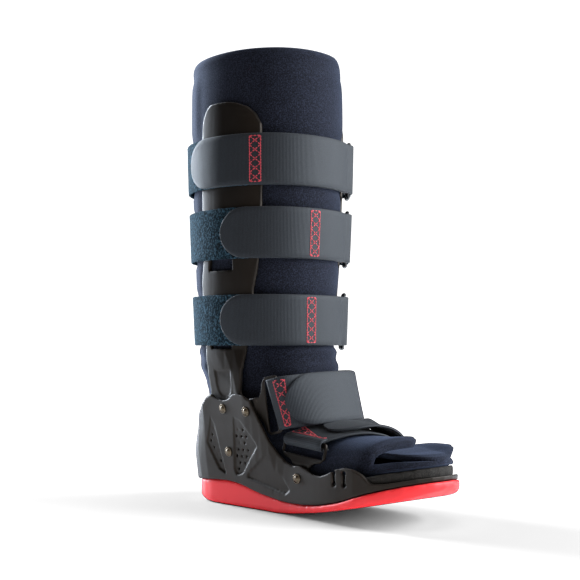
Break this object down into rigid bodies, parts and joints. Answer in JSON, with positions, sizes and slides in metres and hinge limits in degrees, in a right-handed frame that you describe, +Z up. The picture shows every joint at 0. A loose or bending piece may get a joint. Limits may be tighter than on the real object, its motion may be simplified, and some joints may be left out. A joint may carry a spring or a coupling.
{
  "type": "medical walking boot",
  "caption": "Tall rigid boot for a healing foot or ankle: padded wrap liner, moulded rocker shell, side uprights and folding straps, open at the rim for the leg.",
  "frame": {"origin": "middle of the sole's flat rest patch, on the floor", "axes": "+Z up, toe towards -Y, heel towards +Y, the side seen in the picture towards -X"},
  "size_m": [0.1412, 0.2856, 0.397],
  "materials": {
    "rubber": "moulded, satin",
    "shell": "moulded, satin",
    "upright": "moulded, satin with bright edges",
    "plush": "brushed loop pile over foam",
    "foam": "textile-covered foam",
    "webbing": "ribbed webbing",
    "loop": "fuzzy loop pile",
    "wire": "smooth black",
    "rivet": "dark bronze, burnished"
  },
  "bodies": {
    "root": {"outsole": "rubber", "shell": "shell", "insole": "foam", "liner": "plush", "upright_near": "upright", "upright_far": "upright", "strap_top": "webbing", "loop_band_top": "loop", "ring_top": "wire", "strap_middle": "webbing", "loop_band_middle": "loop", "ring_middle": "wire", "strap_lower": "webbing", "loop_band_lower": "loop", "ring_lower": "wire", "strap_instep": "webbing", "strap_forefoot": "webbing", "bracket_instep_near": "upright", "bracket_instep_far": "upright", "bracket_forefoot_near": "upright", "bracket_forefoot_far": "upright", "rivet_upper_near": "rivet", "rivet_upper_far": "rivet", "rivet_lower_near": "rivet", "rivet_lower_far": "rivet", "rivet_instep_near": "rivet", "rivet_instep_far": "rivet", "rivet_forefoot_near": "rivet", "rivet_forefoot_far": "rivet"}
  },
  "joints": []
}
